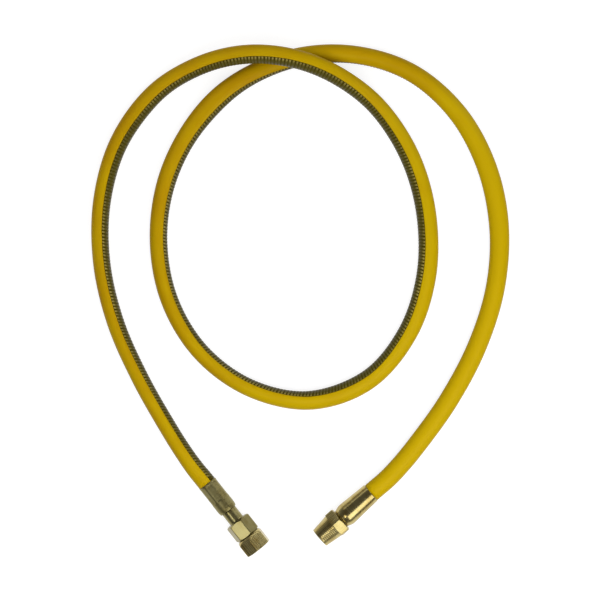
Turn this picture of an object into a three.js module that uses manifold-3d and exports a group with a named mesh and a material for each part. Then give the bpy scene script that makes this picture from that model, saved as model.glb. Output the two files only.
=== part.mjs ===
// A flexible gas hose lying as it came to rest: nearly two turns of covered hose with a swivel
// nut on one end and a tapered male nipple on the other. Millimetres, +Z up, the floor is
// z = 0 and the origin lies on the floor between the two end fittings.
// Each fitting is built round its own Z axis: z = 0 at the mouth of the ferrule, +Z outwards.
import * as THREE from "three";
import { mergeVertices } from "three/addons/utils/BufferGeometryUtils.js";
import Module from "manifold-3d";

const wasm = await Module();
wasm.setup();

// Clearance between pieces that touch
const fitGap = 0.3;

// Hose
const hoseDiameter = 18;
const hoseSides = 12;
const hoseSteps = 56;
const crossingGap = 1.4;

// Squeezed hose ends and the barbed stems inside them
const gasWayRadius = 4;
const stemRadius = 5.25;
const stemSetback = 1.5;
const stemLead = 1.5;
const barbHeight = 0.5;
const barbCount = 4;
const barbRampShare = 0.8;
const squeezedWall = 1.75;

// Ferrules
const ferruleWall = 1;
const ferruleRimThickness = 1.6;
const ferruleLipRound = 0.4;
const rimGrooveDepth = 0.4;
const nutFerruleLength = 32;
const crimpFlatCount = 8;
const crimpDepth = 0.35;
const crimpLength = 19;
const crimpSetback = 1.2;
const maleFerruleLength = 36.6;
const maleFerruleMouthRadius = 9.55;
const maleFerruleBellyRadius = 10.95;
const maleFerruleShoulderLength = 5.3;
const maleFerruleShoulderRadius = 9.05;

// Tail of the nut end
const neckRadius = 7;
const neckLength = 12;
const tailHexAcrossFlats = 22;
const tailHexLength = 17.2;
const tailHexTurn = 9.4;
const domeLength = 2.5;
const domeFaceRadius = 8.5;
const hexChamferLength = 1.6;
const spigotRadius = 8.6;
const spigotLength = 5.4;
const spigotChamfer = 0.4;

// Swivel nut, its wire ring and its washer
const nutAcrossFlats = 24;
const nutLength = 15.7;
const nutTurn = 92;
const nutThreadRadius = 10.5;
const nutMouthChamfer = 0.6;
const nutBackFaceRadius = 11.2;
const nutBackChamferLength = 3.4;
const nutFrontChamferLength = 0.7;
const ringWireRadius = 0.75;
const ringSetback = 2.6;
const ringBite = 0.75;
const ringOpenDegrees = 30;
const washerOuterRadius = 9.1;
const washerBoreRadius = 5.5;
const washerThickness = 2;

// Nipple of the male end
const maleHexAcrossFlats = 24;
const maleHexLength = 9.6;
const maleHexTurn = 99.3;
const maleHexFrontChamferLength = 0.8;
const maleNeckRadius = 8.9;
const nippleLength = 17.2;
const nippleRootRadius = 11.7;
const nippleTipRadius = 9.7;
const nippleTipRound = 1.6;
const nippleBoreRadius = 5.5;
const nippleBoreDepth = 24;

// Fineness of round surfaces
const roundSegments = 48;
const hiddenSegments = 32;
const arcSteps = 5;
const mergeTolerance = 1e-4;

// Heights at which each end lies, its lowest corner on the floor
const nutAxisHeight = lowestCorner(nutAcrossFlats, nutTurn);
const maleAxisHeight = lowestCorner(maleHexAcrossFlats, maleHexTurn);
const floorHeight = hoseDiameter / 2;
const crossingHeight = floorHeight + hoseDiameter + crossingGap;

// A height part of the way up from the floor to a raised one
function risen(share, top) {
  return floorHeight + share * (top - floorHeight);
}

// Centre line of the hose from the nut end to the male end: straight out of each fitting, down
// onto the floor, and in one long low hump over itself where it crosses
const route = [
  [-51.1, 58.7, nutAxisHeight],
  [-51.1, 83.7, nutAxisHeight],
  [-47.7, 120.3, risen(0.74, nutAxisHeight)],
  [-39.3, 175.5, risen(0.25, nutAxisHeight)],
  [-24.9, 230.5, risen(0.04, nutAxisHeight)],
  [-0.4, 281.8, floorHeight],
  [35, 325.9, floorHeight],
  [80.9, 358.7, floorHeight],
  [134.3, 373.7, risen(0.04, crossingHeight)],
  [181.5, 368.5, risen(0.29, crossingHeight)],
  [222.6, 349.1, risen(0.78, crossingHeight)],
  [255.7, 317.8, crossingHeight],
  [278.8, 278.5, risen(0.78, crossingHeight)],
  [290.4, 232.6, risen(0.29, crossingHeight)],
  [285.5, 179.5, risen(0.04, crossingHeight)],
  [264.7, 129.1, floorHeight],
  [229.6, 84.3, floorHeight],
  [182.5, 52.7, floorHeight],
  [126.7, 41.1, floorHeight],
  [72.3, 59.3, floorHeight],
  [35.5, 102.5, floorHeight],
  [19.9, 156.8, floorHeight],
  [26.5, 212.9, floorHeight],
  [52.5, 263, floorHeight],
  [92.9, 302.4, floorHeight],
  [143.7, 326.8, floorHeight],
  [199.7, 333.9, floorHeight],
  [256.7, 319.7, floorHeight],
  [303.4, 287.5, floorHeight],
  [335.3, 240.8, floorHeight],
  [345.8, 185, floorHeight],
  [336.3, 129, floorHeight],
  [311.1, 78.2, floorHeight],
  [273.2, 35.5, floorHeight],
  [226.2, 3.1, risen(0.04, maleAxisHeight)],
  [174.1, -20.1, risen(0.25, maleAxisHeight)],
  [123.2, -34.7, risen(0.74, maleAxisHeight)],
  [88.4, -41.5, maleAxisHeight],
  [63.4, -42.9, maleAxisHeight],
].map(([x, y, z]) => new THREE.Vector3(x, y, z));

// Sizes that follow from those above
const barbRadius = stemRadius + barbHeight;
const rimGrooveRadius = stemRadius - rimGrooveDepth;
const sleeveBoreRadius = barbRadius + fitGap;
const sleeveRadius = sleeveBoreRadius + squeezedWall;
const nutFerruleRadius = sleeveRadius + fitGap + ferruleWall;
const tailHexStart = nutFerruleLength + fitGap + neckLength;
const tailHexEnd = tailHexStart + tailHexLength;
const spigotEnd = tailHexEnd + spigotLength;
const nutStart = tailHexEnd + fitGap;
const nutEnd = nutStart + nutLength;
const washerStart = spigotEnd + fitGap;
const ringHeight = tailHexEnd + ringSetback;
const ringRadius = spigotRadius + fitGap / 2;
const maleHexStart = maleFerruleLength + fitGap;
const maleHexEnd = maleHexStart + maleHexLength;
const nippleEnd = maleHexEnd + nippleLength;

// Materials
const yellowCover = new THREE.MeshStandardMaterial({ color: 0xc8a100, roughness: 0.35, metalness: 0 });
const dullPlating = new THREE.MeshStandardMaterial({ color: 0x8d8862, roughness: 0.5, metalness: 1 });
const brightPlating = new THREE.MeshStandardMaterial({ color: 0xb7a878, roughness: 0.22, metalness: 1 });
const springSteel = new THREE.MeshStandardMaterial({ color: 0x7d7d7a, roughness: 0.35, metalness: 1 });
const washerFibre = new THREE.MeshStandardMaterial({ color: 0x3a3a38, roughness: 0.8, metalness: 0 });

function radians(degrees) {
  return THREE.MathUtils.degToRad(degrees);
}

// Radius over the corners of a hexagon
function cornerRadius(acrossFlats) {
  return acrossFlats / 2 / Math.cos(Math.PI / 6);
}

// The corners of a hexagon, the first at the given turn from X
function hexCorners(acrossFlats, turn) {
  const corners = [];
  for (let i = 0; i < 6; i += 1) {
    const angle = radians(turn + 60 * i);
    const corner = new THREE.Vector2(Math.cos(angle), Math.sin(angle));
    corners.push(corner.multiplyScalar(cornerRadius(acrossFlats)));
  }
  return corners;
}

// How far the lowest corner of a hexagon lies below its axis
function lowestCorner(acrossFlats, turn) {
  return -Math.min(...hexCorners(acrossFlats, turn).map((corner) => corner.y));
}

// A solid for cutting and joining, from a closed geometry
function solidFrom(geometry) {
  geometry.deleteAttribute("normal");
  geometry.deleteAttribute("uv");
  const merged = mergeVertices(geometry, mergeTolerance);
  const index = merged.index.array;
  const triangles = [];
  for (let i = 0; i < index.length; i += 3) {
    const [a, b, c] = index.slice(i, i + 3);
    if (a !== b && b !== c && c !== a) triangles.push(a, b, c);
  }
  const vertProperties = merged.attributes.position.array;
  const triVerts = new Uint32Array(triangles);
  return new wasm.Manifold(new wasm.Mesh({ numProp: 3, vertProperties, triVerts }));
}

// A named mesh of a solid
function pieceOf(name, solid, material) {
  const { vertProperties, triVerts } = solid.getMesh();
  const geometry = new THREE.BufferGeometry();
  geometry.setAttribute("position", new THREE.BufferAttribute(vertProperties, 3));
  geometry.setIndex(new THREE.BufferAttribute(triVerts, 1));
  geometry.computeVertexNormals();
  const mesh = new THREE.Mesh(geometry, material);
  mesh.name = name;
  return mesh;
}

// A turned solid round Z. The outline holds radius and height, and either starts and ends on
// the axis or is closed.
function turned(outline, segments) {
  const geometry = new THREE.LatheGeometry(outline.getPoints(arcSteps), segments);
  geometry.rotateX(Math.PI / 2);
  return solidFrom(geometry);
}

// A round rod from one height to another
function rod(radius, from, to, segments) {
  const outline = new THREE.Path();
  outline.moveTo(0, from);
  outline.lineTo(radius, from);
  outline.lineTo(radius, to);
  outline.lineTo(0, to);
  return turned(outline, segments);
}

// A hexagonal bar from one height to another, one corner at the given turn from X
function hexBar(acrossFlats, turn, from, to) {
  const section = new THREE.Shape(hexCorners(acrossFlats, turn));
  const geometry = new THREE.ExtrudeGeometry(section, {
    depth: to - from,
    bevelEnabled: false,
  });
  geometry.translate(0, 0, from);
  return solidFrom(geometry);
}

// A hexagon with a domed back and a chamfered front, as a bar turned at both ends
function domedHex(acrossFlats, turn, from, to, frontChamferLength) {
  const corner = cornerRadius(acrossFlats) + fitGap;
  const envelope = new THREE.Path();
  envelope.moveTo(0, from);
  envelope.lineTo(domeFaceRadius, from);
  envelope.absellipse(
    domeFaceRadius, from + domeLength, corner - domeFaceRadius, domeLength,
    -Math.PI / 2, 0, false,
  );
  envelope.lineTo(corner, to - frontChamferLength);
  envelope.lineTo(acrossFlats / 2 - fitGap, to);
  envelope.lineTo(0, to);
  return hexBar(acrossFlats, turn, from, to).intersect(turned(envelope, roundSegments));
}

// The barbed stem of a tail: a saw-tooth outline, then the groove that holds the ferrule's rim.
// The steep side of each barb faces outwards, so that the hose can't slide back off it.
function barbedStem(outline, rimStart, rimEnd) {
  const teethStart = stemSetback + stemLead;
  const pitch = (rimStart - fitGap - barbHeight - teethStart) / barbCount;
  outline.moveTo(0, stemSetback);
  outline.lineTo(stemRadius - barbHeight, stemSetback);
  outline.lineTo(stemRadius, teethStart);
  for (let i = 0; i < barbCount; i += 1) {
    const base = teethStart + i * pitch;
    outline.lineTo(barbRadius, base + pitch * barbRampShare);
    outline.lineTo(stemRadius, base + pitch * barbRampShare + fitGap);
    outline.lineTo(stemRadius, base + pitch);
  }
  outline.lineTo(barbRadius, rimStart - fitGap);
  outline.lineTo(rimGrooveRadius, rimStart - fitGap);
  outline.lineTo(rimGrooveRadius, rimEnd + fitGap);
}

// The end of the hose squeezed between a stem and a ferrule
function squeezedHose(mouthRadius, endRadius, length) {
  const outline = new THREE.Path();
  outline.moveTo(sleeveBoreRadius, 0);
  outline.lineTo(mouthRadius, 0);
  outline.lineTo(endRadius, length);
  outline.lineTo(sleeveBoreRadius, length);
  outline.closePath();
  return turned(outline, hiddenSegments);
}

// The crimped shell of the nut end: eight flats pressed into a plain shell, and a rim turned
// into the tail's groove
function crimpedFerrule() {
  const rimStart = nutFerruleLength - ferruleRimThickness;
  const bore = sleeveRadius + fitGap;
  const outline = new THREE.Path();
  outline.moveTo(bore, 0);
  outline.lineTo(nutFerruleRadius - ferruleLipRound, 0);
  outline.quadraticCurveTo(nutFerruleRadius, 0, nutFerruleRadius, ferruleLipRound);
  outline.lineTo(nutFerruleRadius, nutFerruleLength - ferruleWall);
  outline.quadraticCurveTo(
    nutFerruleRadius, nutFerruleLength, nutFerruleRadius - ferruleWall, nutFerruleLength,
  );
  outline.lineTo(rimGrooveRadius + fitGap, nutFerruleLength);
  outline.lineTo(rimGrooveRadius + fitGap, rimStart);
  outline.lineTo(bore, rimStart);
  outline.closePath();
  let shell = turned(outline, roundSegments);
  for (let i = 0; i < crimpFlatCount; i += 1) {
    const jaw = new THREE.BoxGeometry(nutFerruleRadius, 2 * nutFerruleRadius, crimpLength);
    jaw.translate(1.5 * nutFerruleRadius - crimpDepth, 0, crimpSetback + crimpLength / 2);
    jaw.rotateZ((i * 2 * Math.PI) / crimpFlatCount);
    shell = shell.subtract(solidFrom(jaw));
  }
  return shell;
}

// The smooth shell of the male end: it widens from the mouth and closes in a long shoulder
function smoothFerrule() {
  const rimStart = maleFerruleLength - ferruleRimThickness;
  const shoulderStart = maleFerruleLength - maleFerruleShoulderLength;
  const outline = new THREE.Path();
  outline.moveTo(maleFerruleMouthRadius - ferruleWall, 0);
  outline.lineTo(maleFerruleMouthRadius - ferruleLipRound, 0);
  outline.quadraticCurveTo(maleFerruleMouthRadius, 0, maleFerruleMouthRadius, ferruleLipRound);
  outline.lineTo(maleFerruleBellyRadius, shoulderStart);
  outline.lineTo(maleFerruleShoulderRadius, maleFerruleLength);
  outline.lineTo(rimGrooveRadius + fitGap, maleFerruleLength);
  outline.lineTo(rimGrooveRadius + fitGap, rimStart);
  outline.lineTo(maleFerruleShoulderRadius - ferruleWall, rimStart);
  outline.lineTo(maleFerruleBellyRadius - ferruleWall, shoulderStart);
  outline.closePath();
  return turned(outline, roundSegments);
}

// The tail of the nut end: barbed stem, rim groove, neck, domed hexagon and ring-grooved spigot,
// with the gas way through all of it
function nutEndTail() {
  const ringGrooveHalf = ringWireRadius + fitGap;
  const ringGrooveRadius = ringRadius - ringBite - fitGap;
  const outline = new THREE.Path();
  barbedStem(outline, nutFerruleLength - ferruleRimThickness, nutFerruleLength);
  outline.lineTo(neckRadius, nutFerruleLength + fitGap);
  outline.lineTo(neckRadius, tailHexStart + domeLength);
  outline.lineTo(spigotRadius, tailHexStart + domeLength + spigotRadius - neckRadius);
  outline.lineTo(spigotRadius, ringHeight - ringGrooveHalf);
  outline.lineTo(ringGrooveRadius, ringHeight - ringGrooveHalf);
  outline.lineTo(ringGrooveRadius, ringHeight + ringGrooveHalf);
  outline.lineTo(spigotRadius, ringHeight + ringGrooveHalf);
  outline.lineTo(spigotRadius, spigotEnd - spigotChamfer);
  outline.lineTo(spigotRadius - spigotChamfer, spigotEnd);
  outline.lineTo(0, spigotEnd);
  const hexagon = domedHex(
    tailHexAcrossFlats, tailHexTurn, tailHexStart, tailHexEnd, hexChamferLength,
  );
  const gasWay = rod(gasWayRadius, 0, spigotEnd + fitGap, hiddenSegments);
  return turned(outline, roundSegments).add(hexagon).subtract(gasWay);
}

// The swivel nut: a chamfered hexagon with a hole that runs on the spigot, a groove for the wire
// ring, and the wide threaded mouth
function swivelNut() {
  const corner = cornerRadius(nutAcrossFlats) + fitGap;
  const envelope = new THREE.Path();
  envelope.moveTo(0, nutStart);
  envelope.lineTo(nutBackFaceRadius, nutStart);
  envelope.lineTo(corner, nutStart + nutBackChamferLength);
  envelope.lineTo(corner, nutEnd - nutFrontChamferLength);
  envelope.lineTo(nutAcrossFlats / 2, nutEnd);
  envelope.lineTo(0, nutEnd);
  const ringGrooveHalf = ringWireRadius + fitGap;
  const ringGrooveRadius = ringRadius + ringWireRadius + fitGap;
  const shoulder = spigotEnd - fitGap;
  const hollow = new THREE.Path();
  hollow.moveTo(0, nutStart - fitGap);
  hollow.lineTo(spigotRadius + fitGap, nutStart - fitGap);
  hollow.lineTo(spigotRadius + fitGap, ringHeight - ringGrooveHalf);
  hollow.lineTo(ringGrooveRadius, ringHeight - ringGrooveHalf);
  hollow.lineTo(ringGrooveRadius, ringHeight + ringGrooveHalf);
  hollow.lineTo(spigotRadius + fitGap, ringHeight + ringGrooveHalf);
  hollow.lineTo(spigotRadius + fitGap, shoulder);
  hollow.lineTo(nutThreadRadius, shoulder);
  hollow.lineTo(nutThreadRadius, nutEnd - nutMouthChamfer);
  hollow.lineTo(nutThreadRadius + 2 * nutMouthChamfer, nutEnd + nutMouthChamfer);
  hollow.lineTo(0, nutEnd + nutMouthChamfer);
  return hexBar(nutAcrossFlats, nutTurn, nutStart, nutEnd)
    .intersect(turned(envelope, roundSegments))
    .subtract(turned(hollow, roundSegments));
}

// The open wire ring that lies half in the spigot's groove and half in the nut's
function retainingRing() {
  const wire = new THREE.Shape();
  wire.absarc(0, 0, ringWireRadius, 0, 2 * Math.PI, false);
  const start = radians(ringOpenDegrees / 2);
  const end = 2 * Math.PI - start;
  class RingLine extends THREE.Curve {
    getPoint(t) {
      const angle = start + t * (end - start);
      return new THREE.Vector3(Math.cos(angle), Math.sin(angle), 0)
        .multiplyScalar(ringRadius)
        .setZ(ringHeight);
    }
  }
  const geometry = new THREE.ExtrudeGeometry(wire, {
    steps: hiddenSegments,
    curveSegments: arcSteps,
    extrudePath: new RingLine(),
    bevelEnabled: false,
  });
  return solidFrom(geometry);
}

// The flat washer that a mating pipe end is drawn against
function sealingWasher() {
  const outline = new THREE.Path();
  outline.moveTo(washerBoreRadius, washerStart);
  outline.lineTo(washerOuterRadius, washerStart);
  outline.lineTo(washerOuterRadius, washerStart + washerThickness);
  outline.lineTo(washerBoreRadius, washerStart + washerThickness);
  outline.closePath();
  return turned(outline, roundSegments);
}

// The nipple of the male end: barbed stem, rim groove, domed hexagon and tapered end with a
// rounded tip, bored wide from the tip and narrow through the stem
function maleEndNipple() {
  const outline = new THREE.Path();
  barbedStem(outline, maleFerruleLength - ferruleRimThickness, maleFerruleLength);
  outline.lineTo(maleNeckRadius, maleHexStart);
  outline.lineTo(maleNeckRadius, maleHexStart + domeLength);
  outline.lineTo(nippleRootRadius, maleHexEnd - maleHexFrontChamferLength);
  outline.lineTo(nippleRootRadius, maleHexEnd);
  outline.lineTo(nippleTipRadius, nippleEnd - nippleTipRound);
  outline.quadraticCurveTo(
    nippleTipRadius, nippleEnd, nippleTipRadius - nippleTipRound, nippleEnd,
  );
  outline.lineTo(0, nippleEnd);
  const hexagon = domedHex(
    maleHexAcrossFlats, maleHexTurn, maleHexStart, maleHexEnd, maleHexFrontChamferLength,
  );
  const gasWay = rod(gasWayRadius, 0, nippleEnd, hiddenSegments);
  const wideBore = rod(nippleBoreRadius, nippleEnd - nippleBoreDepth, nippleEnd + fitGap, roundSegments);
  return turned(outline, roundSegments).add(hexagon).subtract(gasWay).subtract(wideBore);
}

// The hose itself, a plain tube along its route
function hoseTube() {
  const section = [];
  for (let i = 0; i < hoseSides; i += 1) {
    const angle = ((i + 0.5) * 2 * Math.PI) / hoseSides;
    section.push(
      new THREE.Vector2(Math.cos(angle), Math.sin(angle)).multiplyScalar(hoseDiameter / 2),
    );
  }
  const geometry = new THREE.ExtrudeGeometry(new THREE.Shape(section), {
    steps: hoseSteps,
    extrudePath: new THREE.CatmullRomCurve3(route, false, "catmullrom", 0.5),
    bevelEnabled: false,
  });
  return solidFrom(geometry);
}

// A group at one end of the hose whose Z axis carries on from the last stretch of the route
function endOfHose(mouth, inward) {
  const outward = mouth.clone().sub(inward).normalize();
  const group = new THREE.Group();
  const heading = Math.atan2(outward.y, outward.x) + Math.PI / 2;
  group.rotation.set(Math.PI / 2, 0, heading, "ZXY");
  group.position.copy(mouth).addScaledVector(outward, fitGap);
  return group;
}

const nutSide = endOfHose(route[0], route[1]);
nutSide.add(
  pieceOf("nut_end_ferrule", crimpedFerrule(), dullPlating),
  pieceOf(
    "nut_end_hose_sleeve",
    squeezedHose(sleeveRadius, sleeveRadius, nutFerruleLength - ferruleRimThickness - 2 * fitGap),
    yellowCover.clone(),
  ),
  pieceOf("nut_end_tail", nutEndTail(), dullPlating.clone()),
  pieceOf("swivel_nut", swivelNut(), brightPlating),
  pieceOf("nut_retaining_ring", retainingRing(), springSteel),
  pieceOf("sealing_washer", sealingWasher(), washerFibre),
);

const maleSide = endOfHose(route.at(-1), route.at(-2));
maleSide.add(
  pieceOf("male_end_ferrule", smoothFerrule(), brightPlating.clone()),
  pieceOf(
    "male_end_hose_sleeve",
    squeezedHose(
      maleFerruleMouthRadius - ferruleWall - fitGap,
      maleFerruleBellyRadius - ferruleWall - fitGap,
      maleFerruleLength - maleFerruleShoulderLength,
    ),
    yellowCover.clone(),
  ),
  pieceOf("male_end_nipple", maleEndNipple(), brightPlating.clone()),
);

const gasHose = new THREE.Group();
gasHose.add(pieceOf("hose", hoseTube(), yellowCover), nutSide, maleSide);

export default gasHose;
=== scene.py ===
"""Looks of a flexible gas hose: a yellow covered hose with a dark ribbed strip let into its cover,
a crimped fitting with a swivel nut on one end, and a smooth fitting with a tapered nipple on the
other. Metres, +Z up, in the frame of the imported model."""

import math

import bpy
import numpy as np
from mathutils import Matrix, Vector


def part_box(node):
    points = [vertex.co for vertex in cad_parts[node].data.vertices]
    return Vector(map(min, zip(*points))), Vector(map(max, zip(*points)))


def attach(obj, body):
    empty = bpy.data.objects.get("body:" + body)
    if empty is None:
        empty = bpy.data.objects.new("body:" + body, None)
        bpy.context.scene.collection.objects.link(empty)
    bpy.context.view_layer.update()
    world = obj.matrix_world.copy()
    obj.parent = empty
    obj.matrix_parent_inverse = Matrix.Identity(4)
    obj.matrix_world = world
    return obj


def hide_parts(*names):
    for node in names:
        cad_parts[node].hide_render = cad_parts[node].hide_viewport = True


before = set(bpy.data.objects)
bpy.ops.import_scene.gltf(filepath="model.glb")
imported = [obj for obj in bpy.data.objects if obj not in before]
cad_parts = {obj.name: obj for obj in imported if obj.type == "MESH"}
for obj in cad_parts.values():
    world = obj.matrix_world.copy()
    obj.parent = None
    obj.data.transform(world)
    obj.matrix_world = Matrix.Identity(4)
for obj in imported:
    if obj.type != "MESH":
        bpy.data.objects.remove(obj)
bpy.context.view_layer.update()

MM = 0.001
TURN = 2 * math.pi


def middle(node):
    """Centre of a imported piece's box."""
    low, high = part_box(node)
    return (Vector(low) + Vector(high)) / 2


# Camera: straight above, as the photograph was taken
VIEW_CENTRE = (0.1224, 0.1388)
VIEW_FIELD = 0.560
VIEW_DISTANCE = 1.85
VIEW_TURN = math.radians(-38.3)
SENSOR_WIDTH_MM = 36

# Hose, all along its route
HOSE_DIAMETER = 0.018
HOSE_RADIUS = HOSE_DIAMETER / 2
CROSSING_GAP = 0.0014
NUT_AXIS_HEIGHT = middle("nut_end_ferrule").z
MALE_AXIS_HEIGHT = middle("male_end_ferrule").z
CROSSING_HEIGHT = HOSE_RADIUS + HOSE_DIAMETER + CROSSING_GAP
RING_STEP = 0.004
CURVE_STEPS = 24
# Near the ferrules the hose goes back to its plain height, and keeps this share of its spread
END_REACH = 0.03
END_SPREAD_SHARE = 0.4


def risen(share, top):
    """A height part of the way up from the floor to a raised one."""
    return HOSE_RADIUS + share * (top - HOSE_RADIUS)


# Centre line of the hose, from the nut end to the male end
ROUTE = [
    (-0.0511, 0.0587, NUT_AXIS_HEIGHT),
    (-0.0511, 0.0837, NUT_AXIS_HEIGHT),
    (-0.0477, 0.1203, risen(0.74, NUT_AXIS_HEIGHT)),
    (-0.0393, 0.1755, risen(0.25, NUT_AXIS_HEIGHT)),
    (-0.0249, 0.2305, risen(0.04, NUT_AXIS_HEIGHT)),
    (-0.0004, 0.2818, HOSE_RADIUS),
    (0.0350, 0.3259, HOSE_RADIUS),
    (0.0809, 0.3587, HOSE_RADIUS),
    (0.1343, 0.3737, risen(0.04, CROSSING_HEIGHT)),
    (0.1815, 0.3685, risen(0.29, CROSSING_HEIGHT)),
    (0.2226, 0.3491, risen(0.78, CROSSING_HEIGHT)),
    (0.2557, 0.3178, CROSSING_HEIGHT),
    (0.2788, 0.2785, risen(0.78, CROSSING_HEIGHT)),
    (0.2904, 0.2326, risen(0.29, CROSSING_HEIGHT)),
    (0.2855, 0.1795, risen(0.04, CROSSING_HEIGHT)),
    (0.2647, 0.1291, HOSE_RADIUS),
    (0.2296, 0.0843, HOSE_RADIUS),
    (0.1825, 0.0527, HOSE_RADIUS),
    (0.1267, 0.0411, HOSE_RADIUS),
    (0.0723, 0.0593, HOSE_RADIUS),
    (0.0355, 0.1025, HOSE_RADIUS),
    (0.0199, 0.1568, HOSE_RADIUS),
    (0.0265, 0.2129, HOSE_RADIUS),
    (0.0525, 0.2630, HOSE_RADIUS),
    (0.0929, 0.3024, HOSE_RADIUS),
    (0.1437, 0.3268, HOSE_RADIUS),
    (0.1997, 0.3339, HOSE_RADIUS),
    (0.2567, 0.3197, HOSE_RADIUS),
    (0.3034, 0.2875, HOSE_RADIUS),
    (0.3353, 0.2408, HOSE_RADIUS),
    (0.3458, 0.1850, HOSE_RADIUS),
    (0.3363, 0.1290, HOSE_RADIUS),
    (0.3111, 0.0782, HOSE_RADIUS),
    (0.2732, 0.0355, HOSE_RADIUS),
    (0.2262, 0.0031, risen(0.04, MALE_AXIS_HEIGHT)),
    (0.1741, -0.0201, risen(0.25, MALE_AXIS_HEIGHT)),
    (0.1232, -0.0347, risen(0.74, MALE_AXIS_HEIGHT)),
    (0.0884, -0.0415, MALE_AXIS_HEIGHT),
    (0.0634, -0.0429, MALE_AXIS_HEIGHT),
]

# How wide the hose lies, by distance along it: soft stretches spread, others stand narrow
WIDTHS = [
    (0.00, 0.0176), (0.04, 0.0166), (0.14, 0.0163), (0.26, 0.0164), (0.35, 0.0178),
    (0.385, 0.0190), (0.42, 0.0178), (0.49, 0.0179), (0.62, 0.0176), (0.69, 0.0188),
    (0.86, 0.0190), (0.90, 0.0184), (0.94, 0.0194), (0.99, 0.0172), (1.04, 0.0166),
    (1.22, 0.0167), (1.27, 0.0181), (1.31, 0.0186), (1.34, 0.0210), (1.38, 0.0187),
    (1.44, 0.0180), (1.50, 0.0166), (1.57, 0.0173), (1.63, 0.0185), (1.70, 0.0190),
    (1.75, 0.0180), (1.82, 0.0182), (1.86, 0.0185), (2.00, 0.0182),
]

# Upper edge of the ribbed strip in degrees above the inner side of the bends, by distance
STRIP_EDGES = [
    (0.00, 60), (0.10, 61), (0.15, 67), (0.19, 70), (0.28, 73), (0.33, 75), (0.37, 71),
    (0.42, 66), (0.50, 70), (0.58, 78), (0.64, 69), (0.70, 74), (0.76, 71), (0.82, 68),
    (0.90, 70), (0.95, 69), (1.00, 61), (1.09, 58), (1.14, 56), (1.27, 56), (1.36, 54),
    (1.41, 40), (1.46, 22), (1.52, 10), (1.80, 5), (2.00, 10),
]
STRIP_ARC = math.radians(105)
STRIP_DEPTH = 0.5 * MM
STRIP_TOP = 0.32 * MM
STRIP_BOTTOM = 0.46 * MM
STRIP_SIDE_GAP = 0.01
COVER_SEGMENTS = 52
STRIP_SEGMENTS = 14

# Ribs of the strip
RIB_PITCH = 3.2 * MM
RIB_WIDTH = 1.7 * MM
RIB_HEIGHT = 0.22 * MM
RIB_SIDES = 6
RIB_POINTS = 8
RIB_ARC_SHARE = 0.94
RIB_INSET = STRIP_TOP + 0.02 * MM
RIB_ROUNDNESS = 2.4
RIB_UNEVENNESS = 0.06
RIB_SEED = 7
# Lean of the ribs in degrees, by distance
RIB_LEANS = [(0.0, 28), (0.15, 20), (0.3, 4), (0.45, 0), (0.9, 12), (1.05, 20), (1.3, 6), (2.0, 0)]

# Fittings, in millimetres along and about their own axes. Heights start at the ferrule's mouth.
STEM_START = 1.5
STEM_LEAD = 1.5
STEM_RADIUS = 5.25
GAS_WAY_RADIUS = 4
BARB_HEIGHT = 0.5
BARB_COUNT = 4
BARB_RAMP_SHARE = 0.8
BARB_DROP = 0.3
FERRULE_WALL = 1
FERRULE_RIM = 1.6
RIM_GROOVE_RADIUS = 4.85
RIM_BORE = 5.15
DOME_LENGTH = 2.5
DOME_POINTS = 8
DOME_FACE_RADIUS = 8.5
# Gap between pieces that fit in each other
RUN_GAP = 0.3
# How far outside a hexagon's corners its rows start
PAST_CORNER = 0.3
# Roundings of hidden corners and of points in a thread
SLIGHT = 0.1
LEAST_ROUNDING = 0.01
# Roundings of seen corners
MOUTH_ROUND = 0.5
TAPER_ROUND = 1.5
TAPER_END_ROUND = 0.4
NECK_ROUND = 0.8
TAIL_HEX_ROUND = 0.5
NUT_HEX_ROUND = 0.6
BELLY_ROUND = 2.2
SHOULDER_ROUND = 0.5
MALE_HEX_ROUND = 0.4
TIP_CORNER_ROUND = 1.4

# Nut end
NUT_FERRULE_LENGTH = 32
NUT_FERRULE_RADIUS = 9.1
FERRULE_TAPER = 2.5
FERRULE_END_RADIUS = 8.3
CRIMP_COUNT = 8
CRIMP_DEPTH = 0.35
CRIMP_START = 1.2
CRIMP_END = 20.2
CRIMP_RUN_OUT = 1
# How far out the crimping flats stand where nothing is pressed
CRIMP_CLEAR = 0.7
NECK_RADIUS = 7.3
TAIL_HEX_START = 44.3
TAIL_HEX_END = 61.5
TAIL_HEX_FLATS = 22
TAIL_HEX_TURN = 9.4
TAIL_HEX_CHAMFER = 1.6
TAIL_FACE_INSET = 0.3
SPIGOT_RADIUS = 8.6
SPIGOT_END = 66.9
SPIGOT_CHAMFER = 0.4
RING_HEIGHT = 64.1
RING_GROOVE_HALF = 1.05
RING_GROOVE_START = RING_HEIGHT - RING_GROOVE_HALF
RING_GROOVE_END = RING_HEIGHT + RING_GROOVE_HALF
RING_GROOVE_RADIUS = 7.7
NUT_START = 61.8
NUT_SHELF_SETBACK = 0.3
NUT_END = 77.5
NUT_FLATS = 24
NUT_TURN = 92
NUT_BACK_FACE_RADIUS = 11.2
NUT_BACK_CHAMFER = 3.4
NUT_FRONT_CHAMFER = 0.7
NUT_MOUTH_CHAMFER = 0.6
NUT_THREAD_RADIUS = 10.5
NUT_THREAD_DEPTH = 1
NUT_THREAD_LEAD = 0.2
NUT_RING_GROOVE_RADIUS = 9.8

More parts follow.
